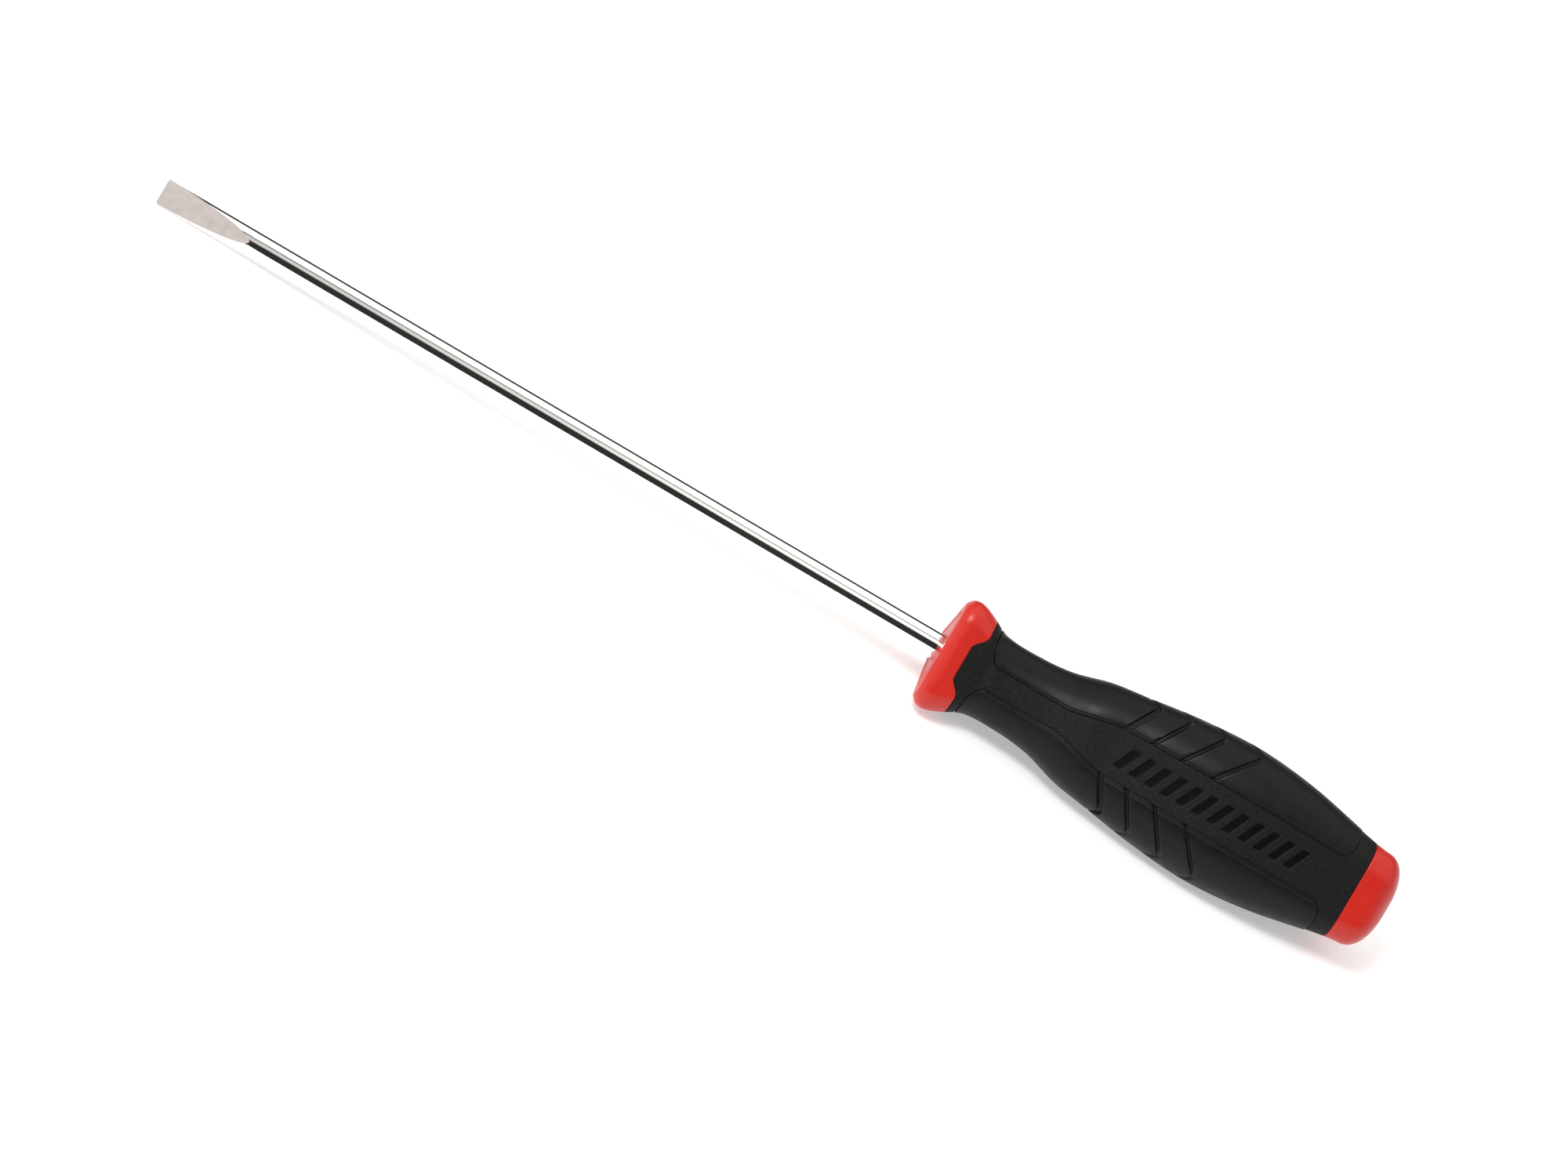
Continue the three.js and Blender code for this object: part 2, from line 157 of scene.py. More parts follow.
def smooth_through(stations, back):
    """Cubic curve through the stations, with slopes taken from the neighbours."""
    x, y = stations[:, 0], stations[:, 1]
    back = np.clip(back, x[0], x[-1])
    slopes = np.empty_like(y)
    slopes[1:-1] = (y[2:] - y[:-2]) / (x[2:] - x[:-2])
    slopes[0] = (y[1] - y[0]) / (x[1] - x[0])
    slopes[-1] = (y[-1] - y[-2]) / (x[-1] - x[-2])
    i = np.clip(np.searchsorted(x, back) - 1, 0, len(x) - 2)
    span, rise = x[i + 1] - x[i], y[i + 1] - y[i]
    t = (back - x[i]) / span
    bend0 = slopes[i] * span - rise
    bend1 = slopes[i + 1] * span - rise
    return y[i] + t * rise + t * (1 - t) * ((1 - t) * bend0 - t * bend1)


def section_at(back, inset=0.0):
    """Half-width of the flat, corner radius, corner distance and flat distance at a station."""
    flat_half = smooth_through(FLAT_HALF_WIDTH, back)
    corner_radius = smooth_through(HALF_WIDTH, back) - flat_half - inset
    corner_distance = flat_half / math.sin(LOBE_STEP / 2)
    flat_distance = corner_distance * math.cos(LOBE_STEP / 2) + corner_radius
    return flat_half, corner_radius, corner_distance, flat_distance


def angle_from_crest(angle):
    turns = (angle - TOP_LOBE) / LOBE_STEP
    return np.abs(turns - np.round(turns)) * LOBE_STEP


def surface_radius(angle, back, inset=0.0):
    flat_half, corner_radius, corner_distance, flat_distance = section_at(back, inset)
    from_crest = angle_from_crest(angle)
    from_flat = LOBE_STEP / 2 - from_crest
    across = corner_distance * np.sin(from_crest)
    rounded = np.sqrt(np.maximum(corner_radius ** 2 - across ** 2, 0))
    rounded = corner_distance * np.cos(from_crest) + rounded
    on_flat = np.tan(from_flat) * flat_distance <= flat_half
    return np.where(on_flat, flat_distance / np.cos(from_flat), rounded)


def smoothstep(x, low, high):
    t = np.clip((x - low) / (high - low), 0, 1)
    return t * t * (3 - 2 * t)


def seam_back(angle):
    from_flat = LOBE_STEP / 2 - angle_from_crest(angle)
    ramp = smoothstep(from_flat, TONGUE_HALF_ANGLE, TONGUE_ROOT_ANGLE)
    return TONGUE_BACK + (SEAM_BACK - TONGUE_BACK) * ramp


def core_radius(angle, back, clearance=0.0):
    """Outside of the hidden core, grown by a clearance."""
    lobed = surface_radius(angle, np.maximum(back, CORE_NOSE_BACK), CORE_INSET - clearance)
    return np.where(back <= CORE_NOSE_BACK, CORE_NOSE_RADIUS + clearance, lobed)


def round_over(distance, radius=EDGE_ROUND):
    """How far a surface has dropped, this far from an edge that is rounded over."""
    into = np.clip(radius - distance, 0, radius)
    return radius - np.sqrt(radius ** 2 - into ** 2)


# ---- Mesh building -------------------------------------------------------------------------

def grid_faces(rows, columns, wrap_columns=False, wrap_rows=False, offset=0):
    r = np.arange(rows if wrap_rows else rows - 1)
    c = np.arange(columns if wrap_columns else columns - 1)
    r, c = np.meshgrid(r, c, indexing="ij")
    r2, c2 = (r + 1) % rows, (c + 1) % columns
    quads = np.stack([r * columns + c, r * columns + c2, r2 * columns + c2, r2 * columns + c], -1)
    return quads.reshape(-1, 4) + offset


WELD = 0.002  # points nearer than this, in mm, become one


def make_piece(name, points, faces, materials, slots=None, sharp_angle=50.0):
    """A mesh object from points in mm and faces, with doubles welded and faces turned outwards.
    slots gives each face its material. Edges are sharp where the surface turns or changes."""
    mesh = bpy.data.meshes.new(name)
    scaled = np.asarray(points, float).reshape(-1, 3) * MM
    mesh.from_pydata(scaled.tolist(), [], [tuple(map(int, f)) for f in faces])
    for material in materials:
        mesh.materials.append(material)
    if slots is not None:
        mesh.polygons.foreach_set("material_index", slots)
    bm = bmesh.new()
    bm.from_mesh(mesh)
    bmesh.ops.remove_doubles(bm, verts=bm.verts, dist=WELD * MM)
    bmesh.ops.dissolve_degenerate(bm, edges=bm.edges, dist=WELD * MM / 4)
    holes = [edge for edge in bm.edges if edge.is_boundary]
    for face in bmesh.ops.holes_fill(bm, edges=holes, sides=0)["faces"]:
        face.material_index = len(materials) - 1
    bmesh.ops.recalc_face_normals(bm, faces=bm.faces)
    for face in bm.faces:
        face.smooth = True
    for edge in bm.edges:
        slots_beside = {face.material_index for face in edge.link_faces}
        turn = edge.calc_face_angle(0.0)
        edge.smooth = turn < math.radians(sharp_angle) and len(slots_beside) == 1
    bm.to_mesh(mesh)
    bm.free()
    obj = bpy.data.objects.new(name, mesh)
    bpy.context.scene.collection.objects.link(obj)
    return obj


def handle_points(back, angle, radius):
    """Points in mm in the tool's frame."""
    back, angle, radius = np.broadcast_arrays(back, angle, radius)
    x = COLLAR_FRONT_X - back
    return np.stack([x, radius * np.cos(angle), radius * np.sin(angle)], -1)


# Distances from an edge at which the mesh has lines, so that its round shows.
EDGE_LINES = EDGE_ROUND * np.array([0, 0.06, 0.17, 0.33, 0.55, 0.8, 1.1])
SEAM_LINES = SEAM_ROUND * np.array([0, 0.2, 0.5, 1.0])
FAR = 9.0  # a distance at which an edge no longer matters
FLAT_COLUMNS = 56
LOBE_COLUMNS = 44
ROW_SPACING = 0.45
BAR_ROW_SPACING = 0.16


# ---- Lines that run round the handle -------------------------------------------------------

# Each gives a back for a place across a lobe, which runs from -1 to 1 between two flats.

def neck_front(across):
    return NECK_PAD_FRONT + NECK_PAD_CHEVRON * np.abs(across) ** NECK_PAD_FRONT_POWER


def groove_line(index, offset, across):
    """A groove's sweep: it leaves the edge of the flat and runs back towards the crest."""
    pitches = index * GROOVE_FIRST_PITCH + GROOVE_PITCH_STEP * index * (index - 1) / 2
    start = GROOVE_FIRST_BACK + pitches + offset
    reach = GROOVE_FIRST_REACH + index * GROOVE_REACH_STEP
    bend = 0.012  # rounds the point of the V at the crest
    rounded_tip = np.sqrt(across ** 2 + bend) - math.sqrt(1 + bend) + 1
    return start + reach * (1 - np.minimum(rounded_tip, 1))


def palm_rear(across):
    return PALM_PAD_REAR - PALM_PAD_CORNER * np.abs(across) ** PALM_PAD_REAR_POWER


def border_angle(back):
    """Angle from the middle of a flat to the border of the pad beside it."""
    back = np.maximum(back, NECK_PAD_FRONT + NECK_PAD_CHEVRON)
    flat_half, _, _, flat_distance = section_at(back)
    return np.arctan((flat_half + PAD_MARGIN) / flat_distance)


def at_border(line):
    """Where a line meets the border of a flat."""
    return float(line(np.array(1.0)))


def part_way(start, end, share):
    return start + share * (end - start)


def between(line_a, line_b, share):
    return lambda across: part_way(line_a(across), line_b(across), share)


def shifted(line, offset):
    return lambda across: line(across) + offset


# ---- Grip body -----------------------------------------------------------------------------

def bar_pattern(back, lateral):
    """Depth of the slanted bars pressed into a flat."""
    shifted = back - BAR_SLANT * lateral - BAR_FIRST_BACK
    index = np.clip(np.round(shifted / BAR_PITCH), 0, BAR_COUNT - 1)
    along = np.abs(shifted - index * BAR_PITCH) - BAR_HALF_LENGTH
    beyond = np.abs(lateral) - BAR_HALF_HEIGHT
    round_along = np.maximum(along + BAR_CORNER, 0)
    round_beyond = np.maximum(beyond + BAR_CORNER, 0)
    outside = np.hypot(round_along, round_beyond) - BAR_CORNER
    distance = np.maximum(outside, np.minimum(np.maximum(along, beyond), 0))
    return BAR_DEPTH * (1 - smoothstep(distance, -BAR_WALL, 0))


def strip_lines():
    """Lateral lines across a flat as (share of the inner half-width, mm from the border)."""
    inner = np.linspace(-1, 1, FLAT_COLUMNS)
    share = np.concatenate([-np.ones(len(EDGE_LINES) - 1), inner, np.ones(len(EDGE_LINES) - 1)])
    gap = np.concatenate([
        EDGE_LINES[:-1], np.full(FLAT_COLUMNS, EDGE_LINES[-1]), EDGE_LINES[-2::-1],
    ])
    return share, gap


def spaced(start, end, spacing):
    """Shares from 0 to 1 for rows no further apart than the spacing."""
    return np.linspace(0, 1, max(2, int(math.ceil(abs(end - start) / spacing)) + 1))


def first_groove_front(across):
    return groove_line(0, 0, across)


def first_groove_rear(across):
    return groove_line(0, GROOVE_WIDTH, across)


def front_ring_rows():
    """The ring in front of the neck pads. Each row of the grip's outside is (line over a lobe,
    back on the flats, zone, distance beyond the pads), and the line is a function of the place
    across the lobe and the angle."""
    border = at_border(neck_front)
    last = EDGE_LINES[-1]

    def ring(share):
        return lambda across, angle: part_way(seam_back(angle) + SEAM_ROUND,
                                              neck_front(across) - last, share)

    rows = []
    for d in SEAM_LINES:
        rows.append((lambda across, angle, d=d: seam_back(angle) + d, TONGUE_BACK + d, "seam", d))
    for share in np.linspace(0, 1, 18)[1:-1]:
        rows.append((ring(share), part_way(TONGUE_BACK, border, share), "ring", FAR))
    for d in EDGE_LINES[::-1]:
        rows.append((lambda across, angle, d=d: neck_front(across) - d, border - d, "ring", d))
    return rows


def pocket_rows(start, end, shares, zone):
    """Rows of the surface under the pads, between two lines."""
    rows = []
    for share in shares:
        line = lambda across, angle, share=share: part_way(start(across), end(across), share)
        rows.append((line, part_way(at_border(start), at_border(end), share), zone, 0.0))
    return rows


def rear_ring_rows():
    """The ring behind the palm pads."""
    border = at_border(palm_rear)
    rear = CAP_FRONT - HAIRLINE
    last = EDGE_LINES[-1]
    rows = []
    for d in EDGE_LINES:
        rows.append((lambda across, angle, d=d: palm_rear(across) + d, border + d, "ring", d))
    for share in np.linspace(0, 1, 16)[1:-1]:
        line = lambda across, angle, share=share: part_way(palm_rear(across) + last,
                                                           rear - SEAM_ROUND, share)
        rows.append((line, part_way(border + last, rear, share), "ring", FAR))
    for d in SEAM_LINES[::-1]:
        line = lambda across, angle, d=d: np.full_like(across, rear - d)
        rows.append((line, rear - d, "seam", d))
    return rows


def grip_rows():
    neck = spaced(at_border(neck_front), at_border(first_groove_front), ROW_SPACING)
    palm = spaced(at_border(first_groove_rear), at_border(palm_rear), BAR_ROW_SPACING)
    return (
        front_ring_rows()
        + pocket_rows(neck_front, first_groove_front, neck, "pad")
        + pocket_rows(first_groove_front, first_groove_rear, np.linspace(0, 1, 9), "groove")
        + pocket_rows(first_groove_rear, palm_rear, palm, "pad")
        + rear_ring_rows()
    )


def lobe_stretch(row, crest, across):
    """Angles, backs, depths and bar depths of a row where it crosses a lobe."""
    line, _, zone, beyond = row
    rough_half_angle = math.radians(43)
    rough_back = line(across, crest + across * rough_half_angle)
    angle = crest + across * (LOBE_STEP / 2 - border_angle(rough_back))
    depth = {
        "pad": PAD_DEPTH,
        "groove": GROOVE_DEPTH,
        "ring": round_over(beyond),
        "seam": round_over(beyond, SEAM_ROUND),
    }[zone]
    none = np.zeros_like(across)
    return angle, line(across, angle), np.full_like(across, depth), none


def flat_stretch(row, middle, share, gap):
    """The same where the row crosses a flat."""
    _, back, zone, beyond = row
    flat_distance = float(section_at(np.array(back))[3])
    half_flat = math.tan(float(border_angle(np.array(back)))) * flat_distance
    lateral = share * (half_flat - EDGE_LINES[-1])
    lateral = lateral + np.sign(share) * (EDGE_LINES[-1] - gap) * (np.abs(share) == 1)
    if zone == "seam":
        depth = np.full_like(lateral, round_over(beyond, SEAM_ROUND))
    else:
        past_pads = 0 if zone in ("pad", "groove") else beyond
        depth = round_over(np.where(np.abs(share) < 1, FAR, np.hypot(gap, past_pads)))
    pressed = bar_pattern(back, lateral)
    angle = middle + np.arctan(lateral / flat_distance)
    return angle, np.full_like(lateral, back), depth + pressed, pressed


def grip_body(materials):
    across = np.linspace(-1, 1, LOBE_COLUMNS)
    share, gap = strip_lines()
    rows = []
    for row in grip_rows():
        stretches = []
        for k in range(LOBES):
            crest = TOP_LOBE + k * LOBE_STEP
            stretches.append(lobe_stretch(row, crest, across))
            stretches.append(flat_stretch(row, crest + LOBE_STEP / 2, share, gap))
        rows.append([np.concatenate(values) for values in zip(*stretches)])
    angles, backs, depths, bars = np.array(rows).transpose(1, 0, 2)
    outer = handle_points(backs, angles, surface_radius(angles, backs) - depths)
    points = np.concatenate([outer, grip_bore(angles[0])])
    faces = grid_faces(len(points), points.shape[1], wrap_columns=True, wrap_rows=True)
    pressed = np.zeros(points.shape[:2])
    pressed[:len(bars)] = bars
    # Faces deep in the bars get the second material, whose darker colour is painted shade.
    is_shaded_floor = pressed.reshape(-1)[faces].min(axis=1) > BAR_SHADED_FLOOR_SHARE * BAR_DEPTH
    return make_piece("grip_body_visual", points, faces, materials, is_shaded_floor.astype(int))


def grip_bore(angle):
    """Rows of the bore, from the rear end forward to the wall behind the collar."""
    backs = [CAP_FRONT - HAIRLINE, 101, 94, 86, 78, 70, 62, 54, 46, 38, 30, 20, 12.5, GRIP_BORE_FRONT]
    rows = [handle_points(b, angle, core_radius(angle, np.array(b), BORE_CLEARANCE)) for b in backs]
    front = SOCKET_RIM_BACK + BORE_CLEARANCE
    rows.append(handle_points(front, angle, CORE_NOSE_RADIUS + BORE_CLEARANCE))
    return np.array(rows)


# ---- Pads ----------------------------------------------------------------------------------

# Distances from a pad's side at which the mesh has lines: the rounded edge, then the step.
PAD_SIDE_LINES = np.concatenate([
    EDGE_ROUND * np.array([0, 0.06, 0.2, 0.45, 0.75, 1.05]),
    SHOULDER_WIDTH + SHOULDER_RISE * np.array([-0.55, -0.2, 0.1, 0.35, 0.65, 1.0, 1.3]),
])


def pad_columns():
    """Lines across a pad as (share of the inner half-width, mm from the border)."""
    sides = len(PAD_SIDE_LINES) - 1
    share = np.concatenate([-np.ones(sides), np.linspace(-1, 1, LOBE_COLUMNS), np.ones(sides)])
    gap = np.concatenate([
        PAD_SIDE_LINES[:-1], np.full(LOBE_COLUMNS, PAD_SIDE_LINES[-1]), PAD_SIDE_LINES[-2::-1],
    ])
    return share, gap


def shoulder_drop(gap):
    return SHOULDER_DROP * (1 - smoothstep(gap, SHOULDER_WIDTH, SHOULDER_WIDTH + SHOULDER_RISE))


def shell(top, bottom):
    """Points and faces of a closed body between two grids of the same size."""
    row_count, columns = top.shape[:2]
    under = row_count * columns
    ring = np.concatenate([
        np.arange(columns),
        np.arange(1, row_count) * columns + columns - 1,
        (row_count - 1) * columns + np.arange(columns - 2, -1, -1),
        np.arange(row_count - 2, 0, -1) * columns,
    ])
    following = np.roll(ring, -1)
    faces = np.concatenate([
        grid_faces(row_count, columns),
        grid_faces(row_count, columns, offset=under)[:, ::-1],
        np.stack([ring, ring + under, following + under, following], -1),
    ])
    return np.concatenate([top.reshape(-1, 3), bottom.reshape(-1, 3)]), faces


def pad_piece(name, rows, crest, materials):
    """A raised pad with walls down into its pocket. Each row is (line, distance from the nearer
    end, extra depth). The underside is offset square to the surface and the pocket's floor towards
    the axis, so away from the crest the underside dips up to 0.1 mm into the floor."""
    share, gap = pad_columns()
    angles, backs, drops = [], [], []
    for line, from_end, extra in rows:
        side_back = line(np.array(1.0))
        half_angle = float(LOBE_STEP / 2 - border_angle(side_back))
        half_length = float(surface_radius(np.array(TOP_LOBE + half_angle), side_back)) * half_angle
        inner = 1 - PAD_SIDE_LINES[-1] / half_length
        edge_share = 1 - gap / half_length
        across = np.where(np.abs(share) < 1, share * inner, np.sign(share) * edge_share)
        back = line(across)
        half = LOBE_STEP / 2 - border_angle(back)
        angles.append(crest + across * half)
        backs.append(back)
        into = np.hypot(
            np.clip(EDGE_ROUND - gap, 0, EDGE_ROUND) * (np.abs(share) == 1),
            max(EDGE_ROUND - from_end, 0),
        )
        into = np.minimum(into, EDGE_ROUND)
        drop = EDGE_ROUND - np.sqrt(EDGE_ROUND ** 2 - into ** 2)
        drops.append(drop + extra + shoulder_drop(gap))
    angles, backs, drops = map(np.array, (angles, backs, drops))
    top = handle_points(backs, angles, surface_radius(angles, backs, -PAD_RAISE) - drops)
    bottom = handle_points(backs, angles, surface_radius(angles, backs, PAD_DEPTH - HAIRLINE))
    points, faces = shell(top, bottom)
    return make_piece(name, points, faces, materials)


def end_rows(line, towards):
    """Rows over a pad's rounded end, from the end inwards."""
    return [(shifted(line, towards * d), d, 0.0) for d in EDGE_LINES]


def plain_rows(line_a, line_b, shares):
    """Rows between two lines that are already there."""
    return [(between(line_a, line_b, share), FAR, 0.0) for share in shares[1:-1]]


def neck_pad_rows():
    front = shifted(neck_front, HAIRLINE)
    rear = shifted(first_groove_front, -HAIRLINE)
    first, last = shifted(front, EDGE_LINES[-1]), shifted(rear, -EDGE_LINES[-1])
    shares = spaced(NECK_PAD_FRONT, GROOVE_FIRST_BACK, ROW_SPACING)
    return end_rows(front, 1) + plain_rows(first, last, shares) + end_rows(rear, -1)[::-1]


def groove_section(x):
    """Depth across a groove: a steep front wall, a floor and a gentler rear wall."""
    front = smoothstep(x, 0, 0.25 * GROOVE_WIDTH)
    rear = 1 - smoothstep(x, 0.5 * GROOVE_WIDTH, GROOVE_WIDTH)
    return GROOVE_DEPTH * np.minimum(front, rear)


def palm_pad_rows():
    start = shifted(first_groove_rear, HAIRLINE)
    rear = shifted(palm_rear, -HAIRLINE)
    rows = end_rows(start, 1)
    previous = shifted(start, EDGE_LINES[-1])
    for i in range(1, GROOVE_COUNT):
        groove_start = lambda across, i=i: groove_line(i, 0, across)
        rows += plain_rows(previous, groove_start, np.linspace(0, 1, 12))
        for x in np.linspace(0, GROOVE_WIDTH, 13):
            rows.append((shifted(groove_start, x), FAR, float(groove_section(x))))
        previous = shifted(groove_start, GROOVE_WIDTH)
    rows += plain_rows(previous, shifted(rear, -EDGE_LINES[-1]), np.linspace(0, 1, 60))
    return rows + end_rows(rear, -1)[::-1]


# ---- Collar and cap ------------------------------------------------------------------------

ROUND_COLUMNS = 288


def even_angles(columns=ROUND_COLUMNS):
    return TOP_LOBE + np.arange(columns) * 2 * math.pi / columns


def front_collar(materials):
    angle = even_angles()
    bore = SHANK_RADIUS + SHANK_CLEARANCE
    socket = CORE_NOSE_RADIUS + BORE_CLEARANCE
    rows = []

    def skin(back, inset):
        rows.append(handle_points(back, angle, surface_radius(angle, back, inset)))

    # The bore's mouth as (back, wider than the bore), then the face as (back, inset).
    for back, wider in [(0.55, 0.0), (0.15, 0.06), (0.0, 0.3)]:
        rows.append(handle_points(back, angle, bore + wider))
    face = [(0.0, 6.0), (0.0, 4.6)]
    groove = [(0.0, 3.9), (0.12, 3.8), (0.22, 3.6), (0.22, 3.4), (0.12, 3.2), (0.0, 3.1)]
    face_edge = [(0.0, 2.0), (0.0, 1.35), (0.04, 1.12), (0.16, 0.92)]
    bevel = [(0.45, 0.62), (0.8, 0.34), (1.1, 0.14), (1.35, 0.04), (COLLAR_BEVEL_BACK, 0.0)]
    for back, inset in face + groove + face_edge + bevel:
        skin(np.full_like(angle, back), inset)
    for back in np.linspace(COLLAR_BEVEL_BACK, COLLAR_SEAM_RING_BACK, 12)[1:]:
        skin(np.full_like(angle, back), 0.0)
    rear = seam_back(angle) - HAIRLINE
    for share in np.linspace(0, 1, 14)[1:-1]:
        skin(part_way(COLLAR_SEAM_RING_BACK, rear - SEAM_ROUND, share), 0.0)
    for d in SEAM_ROUND * np.array([1.0, 0.6, 0.3, 0.1, 0.0]):
        skin(rear - d, float(round_over(d, SEAM_ROUND)))
    rows.append(handle_points(SOCKET_RIM_BACK - HAIRLINE + BORE_CLEARANCE, angle, socket))
    rows.append(handle_points(COUNTERBORE_BACK, angle, socket))
    rows.append(handle_points(COUNTERBORE_BACK, angle, bore))
    faces = grid_faces(len(rows), len(angle), wrap_columns=True, wrap_rows=True)
    return make_piece("front_collar_visual", rows, faces, materials)


def end_cap(materials):
    angle = even_angles()
    rows = [
        handle_points(SPIGOT_FRONT, angle, SPIGOT_RADIUS * 0.5),
        handle_points(SPIGOT_FRONT, angle, SPIGOT_RADIUS),
        handle_points(CAP_FRONT, angle, SPIGOT_RADIUS),
    ]
    for d in CAP_EDGE_ROUND * np.array([0.0, 0.1, 0.3, 0.6, 1.0]):
        back = np.full_like(angle, CAP_FRONT + d)
        drop = float(round_over(d, CAP_EDGE_ROUND))
        rows.append(handle_points(back, angle, surface_radius(angle, back, drop)))
    for back in np.linspace(CAP_FRONT + CAP_EDGE_ROUND, CAP_SHOULDER, 8)[1:]:
        rows.append(handle_points(back, angle, surface_radius(angle, np.full_like(angle, back))))
    shoulder = surface_radius(angle, np.full_like(angle, CAP_SHOULDER))
    height = BUTT_BACK - CAP_SHOULDER
    for rise in np.linspace(0, math.pi / 2, 44)[1:-1]:
        along = math.sin(rise) ** (2 / DOME_FULLNESS)
        across = math.cos(rise) ** (2 / DOME_FULLNESS)
        rows.append(handle_points(CAP_SHOULDER + height * along, angle, shoulder * across))
    points = np.array(rows)
    columns = len(angle)
    faces = grid_faces(len(rows), columns, wrap_columns=True).tolist()
    ends = np.array([[COLLAR_FRONT_X - SPIGOT_FRONT, 0, 0], [COLLAR_FRONT_X - BUTT_BACK, 0, 0]])
    total = len(rows) * columns
    for i in range(columns):
        j = (i + 1) % columns
        faces.append((total, j, i))
        faces.append((total + 1, total - columns + i, total - columns + j))
    flat = np.concatenate([points.reshape(-1, 3), ends])
    return make_piece("end_cap_visual", flat, faces, materials)


# ---- Blade ---------------------------------------------------------------------------------

def blade_patch(x, across, up):
    """Points of a patch whose rows share an x."""
    return np.stack([np.broadcast_to(x[:, None], across.shape), across, up], -1)


def blade(materials):
    """Round bar with two ground flats at the tip. "along" is a distance behind the tip's end.
    The tang is left plain: the CAD part's wings, hidden in the core, are not made here."""
    slope = (SHANK_RADIUS - TIP_THICKNESS / 2) / TIP_TAPER_LENGTH
    full_length = BLADE_LENGTH + TANG_LENGTH
    along = np.concatenate([
        TIP_CORNER * np.array([0, 0.08, 0.25, 0.5, 0.75, 1.0]),
        np.linspace(TIP_CORNER, TIP_TAPER_LENGTH, 80)[1:],
        np.linspace(TIP_TAPER_LENGTH, full_length - TANG_CHAMFER, 60)[1:],
        [full_length],
    ])
    radius = np.full_like(along, SHANK_RADIUS)
    radius[-1] = SHANK_RADIUS - TANG_CHAMFER
    radius -= np.array([float(round_over(a, TIP_CORNER)) for a in along])
    half_thick = np.minimum(TIP_THICKNESS / 2 + slope * along, SHANK_RADIUS)
    half_thick = np.minimum(half_thick, radius)
    half_wide = np.sqrt(np.maximum(radius ** 2 - half_thick ** 2, 0))
    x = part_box("blade")[1].x / MM - along

    patches = []
    limit = np.arcsin(np.clip(half_thick / radius, 0, 1))
    for turn in (0.0, math.pi):
        angle = turn + limit[:, None] * np.linspace(-1, 1, 65)
        sides = radius[:, None] * np.cos(angle), radius[:, None] * np.sin(angle)
        patches.append(blade_patch(x, *sides))
    ground = along <= TIP_TAPER_LENGTH + 1e-6
    for sign in (1, -1):
        across = half_wide[ground][:, None] * np.linspace(-1, 1, 25)
        up = np.broadcast_to(sign * half_thick[ground][:, None], across.shape)
        patches.append(blade_patch(x[ground], across, up))

    faces, slots, offset = [], [], 0
    for patch, slot in zip(patches, (0, 0, 1, 1)):
        quads = grid_faces(*patch.shape[:2], offset=offset)
        faces += quads.tolist()
        slots += [slot] * len(quads)
        offset += patch.shape[0] * patch.shape[1]
    points = np.concatenate([patch.reshape(-1, 3) for patch in patches])
    obj = make_piece("blade_visual", points, faces, materials, slots, sharp_angle=35)
    obj.data.transform(Matrix.Rotation(TIP_ROLL, 4, "X"))
    return obj


# ---- Materials -----------------------------------------------------------------------------

def new_material(name, base, roughness, metallic=0.0, **sockets):
    material = bpy.data.materials.new(name)
    material.use_nodes = True
    nodes, links = material.node_tree.nodes, material.node_tree.links
    shader = nodes["Principled BSDF"]
    shader.inputs["Base Color"].default_value = (*base, 1)
    shader.inputs["Roughness"].default_value = roughness
    shader.inputs["Metallic"].default_value = metallic
    for key, value in sockets.items():
        shader.inputs[key.replace("_", " ")].default_value = value
    return material, nodes, links, shader


def noise(nodes, links, scale, detail=3.0, stretch=(1, 1, 1)):
    """A noise in the object's own coordinates, with scale in cells per metre."""
    coords = nodes.new("ShaderNodeTexCoord")
    mapping = nodes.new("ShaderNodeMapping")
    mapping.inputs["Scale"].default_value = stretch
    texture = nodes.new("ShaderNodeTexNoise")
    texture.inputs["Scale"].default_value = scale
    texture.inputs["Detail"].default_value = detail
    links.new(coords.outputs["Object"], mapping.inputs["Vector"])
    links.new(mapping.outputs["Vector"], texture.inputs["Vector"])
    return texture.outputs["Fac"]


def remap(nodes, links, value, low, high):
    """Spreads a noise, which mostly lies between 0.3 and 0.7, over low to high."""
    node = nodes.new("ShaderNodeMapRange")
    node.inputs["From Min"].default_value = 0.3
    node.inputs["From Max"].default_value = 0.7
    node.inputs["To Min"].default_value = low
    node.inputs["To Max"].default_value = high
    links.new(value, node.inputs["Value"])
    return node.outputs["Result"]


def blend_colours(nodes, links, value, colour_a, colour_b):
    node = nodes.new("ShaderNodeMix")
    node.data_type = "RGBA"
    node.inputs["A"].default_value = (*colour_a, 1)
    node.inputs["B"].default_value = (*colour_b, 1)
    links.new(value, node.inputs["Factor"])
    return node.outputs["Result"]


def bump(nodes, links, shader, heights):
    """Chains bumps of (height, distance in metres, strength) into the shader's normal."""
    normal = None
    for height, distance, strength in heights:
        node = nodes.new("ShaderNodeBump")
        node.inputs["Distance"].default_value = distance
        node.inputs["Strength"].default_value = strength
        links.new(height, node.inputs["Height"])
        if normal is not None:
            links.new(normal, node.inputs["Normal"])
        normal = node.outputs["Normal"]
    links.new(normal, shader.inputs["Normal"])


def chrome_material():
    material, nodes, links, shader = new_material("chrome_plate", (0.92, 0.91, 0.90), 0.08, 1.0)
    smears = noise(nodes, links, 60, 4, (0.25, 1, 1))
    drawn = noise(nodes, links, 900, 2, (0.02, 1, 1))
    links.new(remap(nodes, links, smears, 0.05, 0.11), shader.inputs["Roughness"])
    tint = remap(nodes, links, smears, 0, 1)
    colour = blend_colours(nodes, links, tint, (0.89, 0.88, 0.87), (0.94, 0.93, 0.92))
    links.new(colour, shader.inputs["Base Color"])
    bump(nodes, links, shader, [(drawn, 0.0004 * MM, 0.4)])
    return material


